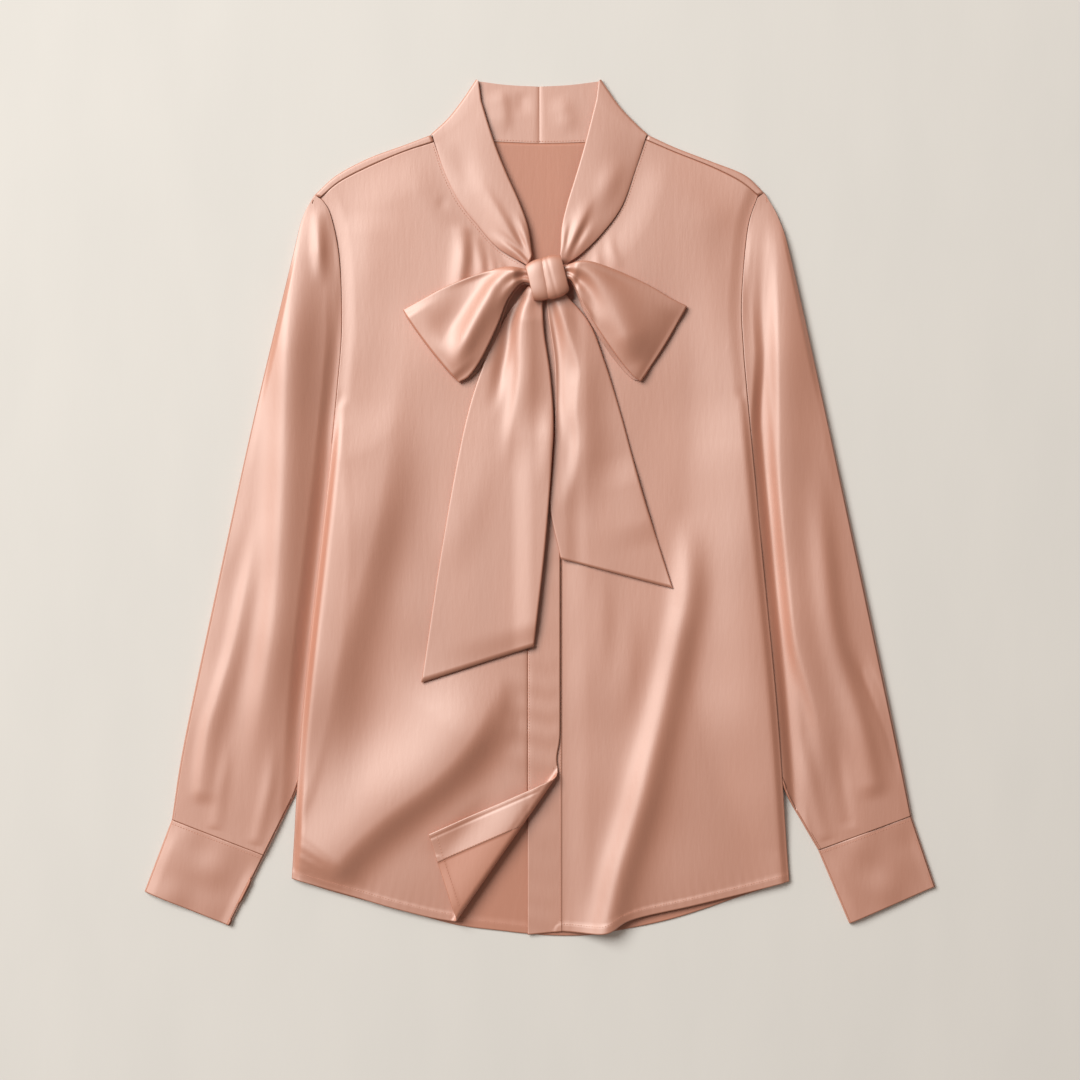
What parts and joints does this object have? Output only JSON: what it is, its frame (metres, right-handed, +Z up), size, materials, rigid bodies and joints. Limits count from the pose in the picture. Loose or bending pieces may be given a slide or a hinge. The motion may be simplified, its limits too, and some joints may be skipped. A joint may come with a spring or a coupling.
{
  "type": "blouse",
  "caption": "Long-sleeved satin blouse with a tie collar in a bow and a hidden button front, laid flat with one front corner turned back.",
  "frame": {"origin": "middle of the footprint, on the surface that the blouse lies on", "axes": "+Y from the hem to the collar, +X to the wearer's left, +Z up through the front"},
  "size_m": [0.711, 0.7697, 0.0259],
  "materials": {
    "satin_body": "dusty pink satin, smooth face outwards, soft sheen",
    "satin_faced": "the same satin, faced and topstitched flat",
    "satin_tie": "the same satin, doubled, soft folds"
  },
  "bodies": {
    "root": {"back": "satin_body", "front_right": "satin_body", "front_left": "satin_body", "placket_right": "satin_faced", "placket_left": "satin_faced", "sleeve_right": "satin_body", "sleeve_left": "satin_body", "cuff_right": "satin_faced", "cuff_left": "satin_faced", "collar_right": "satin_tie", "collar_left": "satin_tie", "knot": "satin_tie", "bow_loop_right": "satin_tie", "bow_loop_left": "satin_tie", "tail_right": "satin_tie", "tail_left": "satin_tie"}
  },
  "joints": []
}
